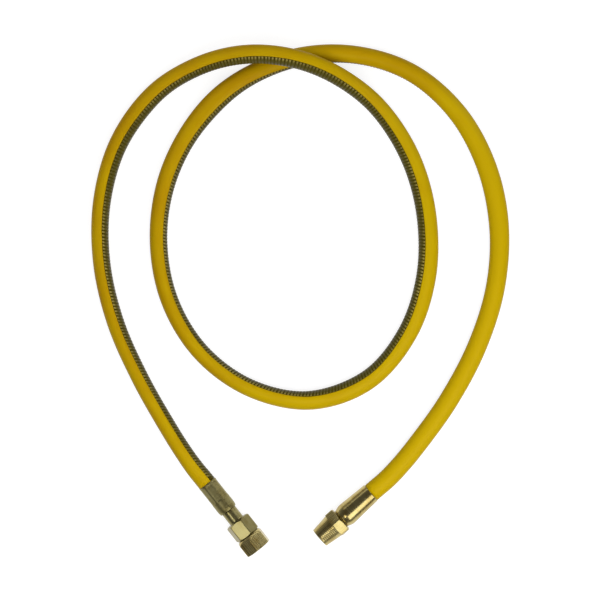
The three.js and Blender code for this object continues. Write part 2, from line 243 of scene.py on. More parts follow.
# Male end
MALE_FERRULE_LENGTH = 36.6
MALE_FERRULE_MOUTH = 9.55
MALE_FERRULE_BELLY = 10.95
MALE_SHOULDER_START = 31.3
MALE_SHOULDER_RADIUS = 9.05
MALE_HEX_START = 36.9
MALE_HEX_END = 46.5
MALE_HEX_FLATS = 24
MALE_HEX_TURN = 99.3
MALE_HEX_CHAMFER = 0.8
MALE_NECK_RADIUS = 8.9
NIPPLE_ROOT_RADIUS = 11.7
NIPPLE_TIP_RADIUS = 9.7
NIPPLE_END = 63.7
NIPPLE_TIP_ROUND = 1.6
NIPPLE_BORE_RADIUS = 5.5
NIPPLE_BORE_START = 39.7
NIPPLE_PLAIN_START = 0.4
NIPPLE_THREAD_DEPTH = 0.06

# The fittings again in metres: their thread, gap to the hose and common rounding
THREAD_PITCH = 1.814 * MM
FIT_GAP = RUN_GAP * MM
FILLET = 0.3 * MM
# A radius near that of all fittings, to which their unrolled surface is measured
COMMON_RADIUS = 10 * MM

# Fineness of the fittings' meshes, and how sharply their flats meet
LONGEST_ROW = 0.6 * MM
SPOKES = 180
ROWS_PER_PITCH = 8
ROUNDING_POINTS = 5
MOST_ROUNDING = 0.45
HEX_SHARPNESS = 90
CRIMP_SHARPNESS = 160
THREAD_CREST_CUT = 1.35
LEAST_FACING = 0.05

# Colours, linear
# The cover's own orange and yellow patches; the cover also uses them for painted light, orange on its
# shaded side
YELLOW = (0.56, 0.375, 0.0005)
ORANGE = (0.46, 0.243, 0.0005)
# Painted shade in the gaps between the ribs near the strip's upper edge
STRIP_GAP_PAINTED_SHADE = (0.062, 0.048, 0.003)
STRIP_OLIVE = (0.085, 0.068, 0.006)
RIB_DARK = (0.090, 0.072, 0.006)
# Painted highlight on the rib crests near the strip's upper edge
RIB_PAINTED_HIGHLIGHT = (0.36, 0.285, 0.06)
DULL_OLIVE = (0.29, 0.255, 0.11)
DULL_BROWN = (0.22, 0.18, 0.065)
BRIGHT_GOLD = (0.50, 0.415, 0.175)
BRIGHT_BROWN = (0.33, 0.235, 0.065)
WIRE_GREY = (0.42, 0.42, 0.40)
FIBRE_BLACK = (0.018, 0.018, 0.016)
# Painted light on the cover: orange on the side away from the main lamp, yellow toward it, along this
# heading, between two places on it
PAINTED_LIGHT_HEADING = (0.5, -0.87, 0)
PAINTED_LIGHT_START = -0.22
PAINTED_LIGHT_END = 0.08


# Camera

def make_camera():
    """The camera over the object, with the photograph's field at the height of the hose."""
    data = bpy.data.cameras.new("photo_camera")
    data.sensor_width = SENSOR_WIDTH_MM
    data.lens = data.sensor_width * VIEW_DISTANCE / VIEW_FIELD
    data.clip_start = 0.05
    data.clip_end = 50
    camera = bpy.data.objects.new("photo_camera", data)
    camera.location = (*VIEW_CENTRE, HOSE_RADIUS + VIEW_DISTANCE)
    camera.rotation_euler = (0, 0, VIEW_TURN)
    bpy.context.collection.objects.link(camera)
    bpy.context.scene.camera = camera


# Line of the hose

def even_line(points, step):
    """Evenly spaced points on a smooth curve through the given ones, and their distances."""
    through = np.array(points)
    through = np.vstack([2 * through[0] - through[1], through, 2 * through[-1] - through[-2]])
    fine = []
    for a, b, c, d in zip(through, through[1:], through[2:], through[3:]):
        for t in np.linspace(0, 1, CURVE_STEPS, endpoint=False):
            slope = (c - a) * t
            bend = (2 * a - 5 * b + 4 * c - d) * t**2
            twist = (3 * b - a - 3 * c + d) * t**3
            fine.append((2 * b + slope + bend + twist) / 2)
    fine = np.array([*fine, through[-2]])
    gone = np.append(0, np.cumsum(np.linalg.norm(np.diff(fine, axis=0), axis=1)))
    even = np.linspace(0, gone[-1], round(gone[-1] / step) + 1)
    return np.stack([np.interp(even, gone, fine[:, k]) for k in range(3)], axis=1), even


def eased_stations(stations, along, reach=9):
    """Values between given stations, with their corners eased."""
    places, values = zip(*stations)
    raw = np.interp(along, places, values)
    padded = np.pad(raw, reach, mode="edge")
    window = np.hanning(2 * reach + 3)[1:-1]
    return np.convolve(padded, window / window.sum(), mode="valid")


class HoseLine:
    """The hose's centre line with what its section needs at each ring."""

    def __init__(self):
        line, self.along = even_line(ROUTE, RING_STEP)
        tangent = np.gradient(line, axis=0)
        tangent /= np.linalg.norm(tangent, axis=1)[:, None]
        side = np.cross(tangent, (0, 0, 1))
        side /= np.linalg.norm(side, axis=1)[:, None]
        self.side = side
        self.up = np.cross(side, tangent)
        self.half_width = eased_stations(WIDTHS, self.along) / 2
        self.half_height = HOSE_DIAMETER - self.half_width
        at_ends = np.minimum(self.along, self.along[-1] - self.along)
        free = np.clip(at_ends / END_REACH, 0, 1)
        kept = END_SPREAD_SHARE + (1 - END_SPREAD_SHARE) * free
        self.half_width = HOSE_RADIUS + (self.half_width - HOSE_RADIUS) * kept
        self.half_height = HOSE_RADIUS + (self.half_height - HOSE_RADIUS) * free
        lift = (self.half_height - HOSE_RADIUS)[:, None] * np.array([0, 0, 1])
        self.line = line
        self.centre = line + lift
        self.strip_edge = np.radians(eased_stations(STRIP_EDGES, self.along))
        self.lean = np.radians(eased_stations(RIB_LEANS, self.along))

    def skin(self, ring, angles, inset):
        """Points of one ring's skin, set in by a depth, at angles from the inner side."""
        across = (self.half_width[ring] - inset)[:, None] * self.side[ring]
        upward = (self.half_height[ring] - inset)[:, None] * self.up[ring]
        return self.centre[ring] + np.cos(angles)[:, None] * across + np.sin(angles)[:, None] * upward


# Meshes

def piece_from(name, points, faces, uvs, material, body="line"):
    """A smooth shaded mesh object at the origin that rides on a body."""
    mesh = bpy.data.meshes.new(name)
    mesh.from_pydata([tuple(p) for p in points], [], faces)
    layer = mesh.uv_layers.new(name="surface")
    layer.data.foreach_set("uv", np.array(uvs, dtype=np.float32).ravel())
    mesh.polygons.foreach_set("use_smooth", [True] * len(mesh.polygons))
    mesh.materials.append(material)
    mesh.update()
    piece = bpy.data.objects.new(name, mesh)
    bpy.context.collection.objects.link(piece)
    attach(piece, body)
    return piece


def tube_piece(name, rings, along, around, material):
    """A closed tube from rings of points. UV is the distance along and round, in metres."""
    count, spokes = len(rings), len(rings[0])
    points = np.concatenate(rings)
    faces = []
    uvs = []
    for i in range(count - 1):
        for j in range(spokes):
            k = (j + 1) % spokes
            faces.append((i * spokes + j, (i + 1) * spokes + j, (i + 1) * spokes + k, i * spokes + k))
            near, far = around[j], around[j + 1]
            uvs += [(along[i], near), (along[i + 1], near), (along[i + 1], far), (along[i], far)]
    first = tuple(range(spokes))
    last = tuple((count - 1) * spokes + j for j in reversed(range(spokes)))
    for cap, place in ((first, along[0]), (last, along[-1])):
        faces.append(cap)
        uvs += [(place, around[0])] * spokes
    return piece_from(name, points, faces, uvs, material)


def wrapped(hose, name, spread, inset, material):
    """A tube round the hose. Its points are spread round from the middle of the strip."""
    middles = hose.strip_edge - STRIP_ARC / 2
    rings = [hose.skin(i, middles[i] + spread, inset) for i in range(len(hose.along))]
    around = np.append(spread, spread[0]) * HOSE_RADIUS
    return tube_piece(name, rings, hose.along, around, material)


def make_cover(hose, material):
    """The yellow cover, with a shallow trough where the strip lies."""
    half = STRIP_ARC / 2
    trough = np.linspace(-half, half, STRIP_SEGMENTS + 1)
    rest = np.linspace(half, TURN - half, COVER_SEGMENTS + 1)
    inset = np.concatenate([np.full(len(trough), STRIP_DEPTH), np.zeros(len(rest))])
    return wrapped(hose, "hose_cover", np.concatenate([trough, rest]), inset, material)


def make_strip(hose, material):
    """The floor of the strip, a thin band that fills the bottom of the trough."""
    half = STRIP_ARC / 2 - STRIP_SIDE_GAP
    over = np.linspace(-half, half, STRIP_SEGMENTS + 1)
    inset = np.concatenate([np.full(len(over), STRIP_TOP), np.full(len(over), STRIP_BOTTOM)])
    return wrapped(hose, "hose_strip", np.concatenate([over, over[::-1]]), inset, material)


# Node trees

def put(tree, kind, inputs=None, **settings):
    """A new node with its settings, and its inputs set or linked."""
    node = tree.nodes.new(kind)
    for name, value in settings.items():
        setattr(node, name, value)
    for key, value in (inputs or {}).items():
        if isinstance(value, bpy.types.NodeSocket):
            tree.links.new(value, node.inputs[key])
        else:
            node.inputs[key].default_value = value
    return node


def number(tree, operation, first, second=0.0):
    """The result of a sum on two numbers."""
    return put(tree, "ShaderNodeMath", {0: first, 1: second}, operation=operation).outputs[0]


def vector(tree, operation, first, second=(0, 0, 0)):
    """The result of a sum on two vectors."""
    made = put(tree, "ShaderNodeVectorMath", {0: first, 1: second}, operation=operation)
    return made.outputs["Vector"]


def scaled(tree, first, scale):
    """A vector times a number."""
    made = put(tree, "ShaderNodeVectorMath", {0: first, "Scale": scale}, operation="SCALE")
    return made.outputs["Vector"]


def vector_of(tree, x=0.0, y=0.0, z=0.0):
    """A vector from its three parts."""
    return put(tree, "ShaderNodeCombineXYZ", {"X": x, "Y": y, "Z": z}).outputs[0]


def parts_of(tree, source):
    """The three parts of a vector."""
    return put(tree, "ShaderNodeSeparateXYZ", {0: source}).outputs


def rib_nodes():
    """Nodes that set bars out at a pitch along a line and wrap them onto the hose's section."""
    tree = bpy.data.node_groups.new("strip_ribs", "GeometryNodeTree")
    sockets = tree.interface
    sockets.new_socket("Line", in_out="INPUT", socket_type="NodeSocketGeometry")
    for name in ("Pitch", "Width", "Height", "Arc", "Inset", "Radius"):
        sockets.new_socket(name, in_out="INPUT", socket_type="NodeSocketFloat")
    sockets.new_socket("Seed", in_out="INPUT", socket_type="NodeSocketInt")
    sockets.new_socket("Material", in_out="INPUT", socket_type="NodeSocketMaterial")
    sockets.new_socket("Ribs", in_out="OUTPUT", socket_type="NodeSocketGeometry")
    given = put(tree, "NodeGroupInput").outputs

    # One bar for each rib, in a row along X
    line = put(tree, "GeometryNodeMeshToCurve", {"Mesh": given["Line"]}).outputs["Curve"]
    length = put(tree, "GeometryNodeCurveLength", {"Curve": line}).outputs["Length"]
    row = put(tree, "GeometryNodeMeshLine", {
        "Count": number(tree, "FLOOR", number(tree, "DIVIDE", length, given["Pitch"])),
        "Start Location": vector_of(tree, number(tree, "MULTIPLY", given["Pitch"], 0.5)),
        "Offset": vector_of(tree, given["Pitch"]),
    }, mode="OFFSET").outputs["Mesh"]
    chance = put(tree, "FunctionNodeRandomValue", {
        2: -RIB_UNEVENNESS, 3: RIB_UNEVENNESS, "Seed": given["Seed"],
    })
    nudge = vector_of(tree, number(tree, "MULTIPLY", chance.outputs[1], given["Pitch"]))
    row = put(tree, "GeometryNodeSetPosition", {"Geometry": row, "Offset": nudge}).outputs[0]
    bar = put(tree, "GeometryNodeMeshCube", {
        "Size": vector_of(tree, given["Width"], 2.0, 1.0),
        "Vertices X": RIB_SIDES,
        "Vertices Y": RIB_POINTS,
        "Vertices Z": 2,
    }).outputs["Mesh"]
    bar = put(tree, "GeometryNodeStoreNamedAttribute", {
        "Geometry": bar,
        "Name": "within",
        "Value": put(tree, "GeometryNodeInputPosition").outputs[0],
    }, data_type="FLOAT_VECTOR").outputs[0]
    bars = put(tree, "GeometryNodeInstanceOnPoints", {"Points": row, "Instance": bar}).outputs[0]
    bars = put(tree, "GeometryNodeRealizeInstances", {"Geometry": bars}).outputs[0]

    # Where each point lies along the hose and round it
    within = put(tree, "GeometryNodeInputNamedAttribute", {"Name": "within"},
                 data_type="FLOAT_VECTOR").outputs[0]
    across, round_share, tall = parts_of(tree, within)
    place = parts_of(tree, put(tree, "GeometryNodeInputPosition").outputs[0])[0]
    rib_place = number(tree, "SUBTRACT", place, across)
    half_arc = number(tree, "MULTIPLY", given["Arc"], 0.5)
    turn = number(tree, "MULTIPLY", round_share, half_arc)
    lean = put(tree, "GeometryNodeInputNamedAttribute", {"Name": "lean"},
               data_type="FLOAT_VECTOR").outputs[0]
    lean = put(tree, "GeometryNodeSampleCurve", {
        "Curves": line, "Value": lean, "Length": rib_place,
    }, mode="LENGTH", data_type="FLOAT_VECTOR").outputs["Value"]
    slip = number(tree, "MULTIPLY", parts_of(tree, lean)[0], number(
        tree, "MULTIPLY", turn, given["Radius"]))
    place = number(tree, "ADD", place, slip)
    section = put(tree, "GeometryNodeInputNamedAttribute", {"Name": "section"},
                  data_type="FLOAT_VECTOR").outputs[0]
    found = put(tree, "GeometryNodeSampleCurve", {
        "Curves": line, "Value": section, "Length": place,
    }, mode="LENGTH", data_type="FLOAT_VECTOR").outputs
    half_width, half_height, strip_middle = parts_of(tree, found["Value"])
    angle = number(tree, "ADD", strip_middle, turn)

    # The bar's rounded top, and its place on the section
    offcentre = number(tree, "DIVIDE", across, given["Width"])
    crown = number(
        tree, "MULTIPLY", number(tree, "MULTIPLY", offcentre, offcentre), -RIB_ROUNDNESS)
    share = number(tree, "MULTIPLY", number(tree, "ADD", tall, 0.5), number(tree, "ADD", crown, 1.0))
    inset = number(tree, "SUBTRACT", given["Inset"], number(tree, "MULTIPLY", given["Height"], share))
    side = vector(tree, "NORMALIZE", vector(tree, "CROSS_PRODUCT", found["Tangent"], (0, 0, 1)))
    up = vector(tree, "CROSS_PRODUCT", side, found["Tangent"])
    out = number(tree, "MULTIPLY", number(tree, "COSINE", angle), number(
        tree, "SUBTRACT", half_width, inset))
    rise = number(tree, "MULTIPLY", number(tree, "SINE", angle), number(
        tree, "SUBTRACT", half_height, inset))
    moved = vector(tree, "ADD", scaled(tree, side, out), scaled(tree, up, rise))
    moved = vector(tree, "ADD", found["Position"], moved)
    bars = put(tree, "GeometryNodeStoreNamedAttribute", {
        "Geometry": bars,
        "Name": "surface",
        "Value": vector_of(tree, place, number(tree, "MULTIPLY", turn, given["Radius"])),
    }, data_type="FLOAT2", domain="CORNER").outputs[0]
    bars = put(tree, "GeometryNodeSetPosition", {"Geometry": bars, "Position": moved}).outputs[0]
    bars = put(tree, "GeometryNodeSetShadeSmooth", {"Geometry": bars}).outputs[0]
    bars = put(tree, "GeometryNodeSetMaterial", {
        "Geometry": bars, "Material": given["Material"],
    }).outputs[0]
    put(tree, "NodeGroupOutput", {"Ribs": bars})
    return tree


def make_ribs(hose, material):
    """The ribs of the strip, made once along the hose's line."""
    count = len(hose.along)
    mesh = bpy.data.meshes.new("strip_ribs_line")
    mesh.from_pydata([tuple(p) for p in hose.centre], [(i, i + 1) for i in range(count - 1)], [])
    middles = hose.strip_edge - STRIP_ARC / 2
    section = np.stack([hose.half_width, hose.half_height, middles], axis=1)
    lean = np.stack([np.tan(hose.lean)] * 3, axis=1)
    for name, values in (("section", section), ("lean", lean)):
        stored = mesh.attributes.new(name, "FLOAT_VECTOR", "POINT")
        stored.data.foreach_set("vector", values.astype(np.float32).ravel())
    source = bpy.data.objects.new("strip_ribs_line", mesh)
    bpy.context.collection.objects.link(source)
    modifier = source.modifiers.new("ribs", "NODES")
    modifier.node_group = rib_nodes()
    values = {
        "Pitch": RIB_PITCH, "Width": RIB_WIDTH, "Height": RIB_HEIGHT, "Inset": RIB_INSET,
        "Arc": STRIP_ARC * RIB_ARC_SHARE, "Radius": HOSE_RADIUS, "Seed": RIB_SEED,
        "Material": material,
    }
    for socket in modifier.node_group.interface.items_tree:
        if socket.in_out == "INPUT" and socket.name in values:
            modifier[socket.identifier] = values[socket.name]
    graph = bpy.context.evaluated_depsgraph_get()
    made = bpy.data.meshes.new_from_object(
        source.evaluated_get(graph), preserve_all_data_layers=True, depsgraph=graph)
    source.modifiers.remove(modifier)
    bpy.data.objects.remove(source)
    made.name = "strip_ribs"
    made.attributes.remove(made.attributes["within"])
    ribs = bpy.data.objects.new("strip_ribs", made)
    bpy.context.collection.objects.link(ribs)
    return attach(ribs, "line")


# Fittings

def eased_outline(corners):
    """Rows of height and radius down a closed outline, its corners rounded off."""
    points = []
    for i, (height, radius, rounding) in enumerate(corners):
        here = np.array((height, radius))
        before = np.array(corners[i - 1][:2]) - here
        after = np.array(corners[(i + 1) % len(corners)][:2]) - here
        start = here + before * min(rounding / np.linalg.norm(before), MOST_ROUNDING)
        end = here + after * min(rounding / np.linalg.norm(after), MOST_ROUNDING)
        for t in np.linspace(0, 1, ROUNDING_POINTS):
            points.append((1 - t)**2 * start + 2 * t * (1 - t) * here + t**2 * end)
    rows = []
    for here, after in zip(points, points[1:] + points[:1]):
        steps = max(1, math.ceil(np.linalg.norm(after - here) / LONGEST_ROW))
        rows += [here + (after - here) * k / steps for k in range(steps)]
    return np.array(rows)


def corners_of(sizes, rounding=FILLET):
    """Corners in metres from sizes in millimetres, each with its own rounding or the common one."""
    return [(z * MM, r * MM, own[0] * MM if own else rounding) for z, r, *own in sizes]


def softly_least(radii, limits, sharpness):
    """The lesser of radii and of each limit, running smoothly from one to the other."""
    total = (radii / COMMON_RADIUS)**-sharpness
    for limit in limits:
        total = total + (limit / COMMON_RADIUS)**-sharpness
    return COMMON_RADIUS * total**(-1 / sharpness)


def flat_limits(angles, count, turn, apothem):
    """How far out each flat of a prism lets each point be."""
    limits = []
    for k in range(count):
        facing = np.cos(angles - math.radians(turn) - k * TURN / count)
        limits.append(apothem / np.clip(facing, LEAST_FACING, None))
    return limits


def thread_ridge(heights, angles):
    """0 in the roots of a right-hand thread and 1 on its crests."""
    wave = np.cos(TURN * heights / THREAD_PITCH - angles)
    return 0.5 + 0.5 * np.clip(THREAD_CREST_CUT * wave, -1, 1)


def fade_between(values, low, high, run):
    """1 between two values and 0 outside them, with smooth ends."""
    inside = np.clip(np.minimum(values - low, high - values) / run, 0, 1)
    return inside * inside * (3 - 2 * inside)


def turned_piece(name, seat, rows, shape, turn, material, body="line"):
    """A closed ring solid: rows of height and radius, spun round the axis and shaped by angle.
    UV is the distance round at the common radius, and the distance down the outline."""
    angles = math.radians(turn) + np.arange(SPOKES) * TURN / SPOKES
    heights = rows[:, :1]
    radii = shape(heights, rows[:, 1:] + 0 * angles[None], angles[None])
    local = np.stack([
        radii * np.cos(angles), radii * np.sin(angles), heights + 0 * radii, np.ones_like(radii),
    ], axis=-1)
    points = (local.reshape(-1, 4) @ np.array(seat).T)[:, :3]
    count = len(rows)
    steps = np.linalg.norm(np.diff(rows, axis=0, append=rows[:1]), axis=1)
    down = np.append(0, np.cumsum(steps))
    spoke_width = TURN / SPOKES * COMMON_RADIUS
    faces = []
    uvs = []
    for i in range(count):
        for j in range(SPOKES):
            a, b = i * SPOKES, (i + 1) % count * SPOKES
            k = (j + 1) % SPOKES
            faces.append((a + j, a + k, b + k, b + j))
            near, far = j * spoke_width, (j + 1) * spoke_width
            uvs += [(near, down[i]), (far, down[i]), (far, down[i + 1]), (near, down[i + 1])]
    return piece_from(name, points, faces, uvs, material, body)


def barbed_stem(rim_start, rim_end):
    """Corners of the hidden barbed stem and of the groove for the ferrule's rim."""
    teeth_start = STEM_START + STEM_LEAD
    groove_start = rim_start - RUN_GAP
    pitch = (groove_start - BARB_HEIGHT - teeth_start) / BARB_COUNT
    corners = [(STEM_START, STEM_RADIUS - BARB_HEIGHT), (teeth_start, STEM_RADIUS)]
    for i in range(BARB_COUNT):
        base = teeth_start + i * pitch
        crest = base + pitch * BARB_RAMP_SHARE
        corners.append((crest, STEM_RADIUS + BARB_HEIGHT))
        corners.append((crest + BARB_DROP, STEM_RADIUS))
        corners.append((base + pitch, STEM_RADIUS))
    corners.append((groove_start, STEM_RADIUS + BARB_HEIGHT))
    corners.append((groove_start, RIM_GROOVE_RADIUS))
    corners.append((rim_end + RUN_GAP, RIM_GROOVE_RADIUS))
    return [(z, r, SLIGHT) for z, r in corners]


def dome(start, face_radius, corner_radius):
    """Corners up the domed back of a hexagon."""
    corners = []
    for k in range(DOME_POINTS):
        angle = k * TURN / 4 / (DOME_POINTS - 1)
        height = start + DOME_LENGTH * (1 - math.cos(angle))
        radius = face_radius + (corner_radius - face_radius) * math.sin(angle)
        corners.append((height, radius, SLIGHT))
    return corners


def past_corners(across_flats):
    """A radius just outside a hexagon's corners, which its flats then cut back."""
    return across_flats / 2 / math.cos(TURN / 12) + PAST_CORNER


def hexagon(across_flats, turn):
    """A shaping of rows into a hexagon with one corner at a turn in degrees from local X."""
    def shape(heights, radii, angles):
        corner_to_flat = 360 / 12
        limits = flat_limits(angles, 6, turn + corner_to_flat, across_flats * MM / 2)
        return softly_least(radii, limits, HEX_SHARPNESS)
    return shape


def crimped_shell(seat, material):
    """The nut end's ferrule, with eight crimped flats."""
    length = NUT_FERRULE_LENGTH
    rows = eased_outline(corners_of([
        (0, NUT_FERRULE_RADIUS, MOUTH_ROUND),
        (length - FERRULE_TAPER, NUT_FERRULE_RADIUS, TAPER_ROUND),
        (length, FERRULE_END_RADIUS, TAPER_END_ROUND), (length, RIM_BORE),
        (length - FERRULE_RIM, RIM_BORE, SLIGHT),
        (length - FERRULE_RIM, FERRULE_END_RADIUS - FERRULE_WALL, SLIGHT),
        (length - FERRULE_TAPER, NUT_FERRULE_RADIUS - FERRULE_WALL),
        (0, NUT_FERRULE_RADIUS - FERRULE_WALL),
    ]))

    def shape(heights, radii, angles):
        pressed = fade_between(heights, CRIMP_START * MM, CRIMP_END * MM, CRIMP_RUN_OUT * MM)
        apothem = (NUT_FERRULE_RADIUS + CRIMP_CLEAR - (CRIMP_DEPTH + CRIMP_CLEAR) * pressed) * MM
        limits = flat_limits(angles, CRIMP_COUNT, 0, apothem)
        return softly_least(radii, limits, CRIMP_SHARPNESS)

    return turned_piece("crimped_shell", seat, rows, shape, 0, material)


def tail_piece(seat, material):
    """The nut end's tail: stem, neck, domed hexagon and spigot, bored through."""
    corner = past_corners(TAIL_HEX_FLATS)
    rows = eased_outline(corners_of([
        *barbed_stem(NUT_FERRULE_LENGTH - FERRULE_RIM, NUT_FERRULE_LENGTH),
        (NUT_FERRULE_LENGTH + RUN_GAP, NECK_RADIUS), (TAIL_HEX_START, NECK_RADIUS, NECK_ROUND),
        *dome(TAIL_HEX_START, DOME_FACE_RADIUS, corner),
        (TAIL_HEX_END - TAIL_HEX_CHAMFER, corner, TAIL_HEX_ROUND),
        (TAIL_HEX_END, TAIL_HEX_FLATS / 2 - TAIL_FACE_INSET),
        (TAIL_HEX_END, SPIGOT_RADIUS, SLIGHT), (RING_GROOVE_START, SPIGOT_RADIUS, SLIGHT),
        (RING_GROOVE_START, RING_GROOVE_RADIUS, SLIGHT),
        (RING_GROOVE_END, RING_GROOVE_RADIUS, SLIGHT), (RING_GROOVE_END, SPIGOT_RADIUS, SLIGHT),
        (SPIGOT_END - SPIGOT_CHAMFER, SPIGOT_RADIUS, SLIGHT),
        (SPIGOT_END, SPIGOT_RADIUS - SPIGOT_CHAMFER), (SPIGOT_END, GAS_WAY_RADIUS),
        (STEM_START, GAS_WAY_RADIUS, SLIGHT),
    ]))
    shape = hexagon(TAIL_HEX_FLATS, TAIL_HEX_TURN)
    return turned_piece("tail_and_hexagon", seat, rows, shape, TAIL_HEX_TURN, material)


def nut_piece(seat, material):
    """The swivel nut: chamfered hexagon, hole for the spigot, ring groove and threaded mouth."""
    corner = past_corners(NUT_FLATS)
    hole = SPIGOT_RADIUS + RUN_GAP
    shelf = SPIGOT_END - NUT_SHELF_SETBACK
    last_row = NUT_END - NUT_MOUTH_CHAMFER - SLIGHT
    turns = np.arange(SPIGOT_END + NUT_THREAD_LEAD, last_row, THREAD_PITCH / MM / ROWS_PER_PITCH)
    rows = eased_outline(corners_of([
        (NUT_START, NUT_BACK_FACE_RADIUS), (NUT_START + NUT_BACK_CHAMFER, corner, NUT_HEX_ROUND),
        (NUT_END - NUT_FRONT_CHAMFER, corner), (NUT_END, NUT_FLATS / 2),
        (NUT_END, NUT_THREAD_RADIUS + NUT_MOUTH_CHAMFER),
        *[(z, NUT_THREAD_RADIUS, LEAST_ROUNDING) for z in turns[::-1]],
        (shelf, NUT_THREAD_RADIUS, SLIGHT), (shelf, hole, SLIGHT), (RING_GROOVE_END, hole, SLIGHT),
        (RING_GROOVE_END, NUT_RING_GROOVE_RADIUS, SLIGHT),
        (RING_GROOVE_START, NUT_RING_GROOVE_RADIUS, SLIGHT),
        (RING_GROOVE_START, hole, SLIGHT), (NUT_START, hole),
    ]))
    outside = hexagon(NUT_FLATS, NUT_TURN)
    bore = (NUT_THREAD_RADIUS - LEAST_ROUNDING) * MM
    thread_end = NUT_END * MM - NUT_MOUTH_CHAMFER * MM

    def shape(heights, radii, angles):
        threaded = fade_between(heights, SPIGOT_END * MM, thread_end, THREAD_PITCH)
        inside = (radii > bore) & (radii < bore + 2 * LEAST_ROUNDING * MM)
        depth = NUT_THREAD_DEPTH * MM * threaded * inside
        return outside(heights, radii - depth * thread_ridge(heights, angles), angles)

    return turned_piece("coupling_nut", seat, rows, shape, NUT_TURN, material, "nut")


def smooth_shell(seat, material):
    """The male end's ferrule, wider at the belly and closed in by a rounded shoulder."""
    length = MALE_FERRULE_LENGTH
    rows = eased_outline(corners_of([
        (0, MALE_FERRULE_MOUTH, MOUTH_ROUND),
        (MALE_SHOULDER_START, MALE_FERRULE_BELLY, BELLY_ROUND),
        (length, MALE_SHOULDER_RADIUS, SHOULDER_ROUND), (length, RIM_BORE),
        (length - FERRULE_RIM, RIM_BORE, SLIGHT),
        (length - FERRULE_RIM, MALE_SHOULDER_RADIUS - FERRULE_WALL, SLIGHT),
        (MALE_SHOULDER_START, MALE_FERRULE_BELLY - FERRULE_WALL, SHOULDER_ROUND),
        (0, MALE_FERRULE_MOUTH - FERRULE_WALL),
    ]))
    return turned_piece("smooth_shell", seat, rows, lambda z, r, a: r, 0, material)


def nipple_piece(seat, material):
    """The male end's nipple: stem, domed hexagon and tapered end with a shallow thread."""
    corner = past_corners(MALE_HEX_FLATS)
    thread_start = MALE_HEX_END + NIPPLE_PLAIN_START
    thread_end = NIPPLE_END - NIPPLE_TIP_ROUND
    turns = np.arange(thread_start, thread_end, THREAD_PITCH / MM / ROWS_PER_PITCH)
    taper = (NIPPLE_TIP_RADIUS - NIPPLE_ROOT_RADIUS) / (thread_end - MALE_HEX_END)
    rows = eased_outline(corners_of([
        *barbed_stem(MALE_FERRULE_LENGTH - FERRULE_RIM, MALE_FERRULE_LENGTH),
        *dome(MALE_HEX_START, MALE_NECK_RADIUS, corner),
        (MALE_HEX_END - MALE_HEX_CHAMFER, corner, MALE_HEX_ROUND),
        (MALE_HEX_END, NIPPLE_ROOT_RADIUS, SLIGHT),
        *[(z, NIPPLE_ROOT_RADIUS + taper * (z - MALE_HEX_END), LEAST_ROUNDING) for z in turns],
        (thread_end, NIPPLE_TIP_RADIUS), (NIPPLE_END, NIPPLE_TIP_RADIUS, TIP_CORNER_ROUND),
        (NIPPLE_END, NIPPLE_BORE_RADIUS), (NIPPLE_BORE_START, NIPPLE_BORE_RADIUS, SLIGHT),
        (NIPPLE_BORE_START, GAS_WAY_RADIUS, SLIGHT), (STEM_START, GAS_WAY_RADIUS, SLIGHT),
    ]))
    hexed = hexagon(MALE_HEX_FLATS, MALE_HEX_TURN)
    run_out = 1.5 * THREAD_PITCH
    outside_from = NIPPLE_TIP_RADIUS * MM - FILLET

    def shape(heights, radii, angles):
        cut = fade_between(heights, thread_start * MM, NIPPLE_END * MM, run_out)
        cut = cut * (radii > outside_from)
        root = 1 - thread_ridge(heights, angles)
        return hexed(heights, radii - NIPPLE_THREAD_DEPTH * MM * cut * root, angles)

    return turned_piece("tapered_nipple", seat, rows, shape, MALE_HEX_TURN, material)


def seat_at(mouth, inward):
    """The place of a fitting's own axes: Z goes out along the axis, Y is up."""
    outward = (Vector(mouth) - Vector(inward)).normalized()
    origin = Vector(mouth) + outward * FIT_GAP
    across = Vector((0, 0, 1)).cross(outward)
    columns = (across, Vector((0, 0, 1)), outward, origin)
    return Matrix([[column[k] for column in columns] for k in range(3)] + [[0, 0, 0, 1]])


# Materials

def material_tree(name):
    """A new material with its node tree and its surface node."""
    made = bpy.data.materials.new(name)
    made.use_nodes = True
    tree = made.node_tree
    return made, tree, tree.nodes["Principled BSDF"]


def noise(tree, place, scale, detail=3.0, roughness=0.5):
    """Noise from 0 to 1 over a place."""
    return put(tree, "ShaderNodeTexNoise", {
        "Vector": place, "Scale": scale, "Detail": detail, "Roughness": roughness,
    }).outputs["Fac"]


def weighed(tree, *parts):
    """The sum of numbers, each times its weight."""
    total = 0.0
    for value, weight in parts:
        total = number(tree, "ADD", total, number(tree, "MULTIPLY", value, weight))
    return total


def centred(tree, share):
    """A share from 0 to 1, moved to lie about 0."""
    return number(tree, "SUBTRACT", share, 0.5)


def ramp(tree, share, stops):
    """A colour picked by a share from stops of place and colour."""
    node = put(tree, "ShaderNodeValToRGB", {"Fac": share})
    elements = node.color_ramp.elements
    while len(elements) < len(stops):
        elements.new(0.5)
    for element, (place, colour) in zip(elements, stops):
        element.position = place
        element.color = (*colour, 1)
    return node.outputs["Color"]


def spread_to(tree, value, low, high, new_low, new_high):
    """A number moved from one range to another and kept within it."""
    return put(tree, "ShaderNodeMapRange", {
        "Value": value, "From Min": low, "From Max": high, "To Min": new_low, "To Max": new_high,
    }).outputs[0]


def bumped(tree, surface, height, depth, strength=1.0):
    """A fine relief on the surface."""
    bump = put(tree, "ShaderNodeBump", {"Height": height, "Distance": depth, "Strength": strength})
    tree.links.new(bump.outputs["Normal"], surface.inputs["Normal"])


def on_object(tree):
    """Place in metres in the object's own axes."""
    return put(tree, "ShaderNodeTexCoord").outputs["Object"]


def unrolled(tree):
    """Place in metres on the unrolled surface."""
    return put(tree, "ShaderNodeUVMap", uv_map="surface").outputs[0]


def on_surface(tree, first_scale, second_scale):
    """Place on the unrolled surface, with a scale for each of its two directions."""
    return vector(tree, "MULTIPLY", unrolled(tree), (first_scale, second_scale, 1))


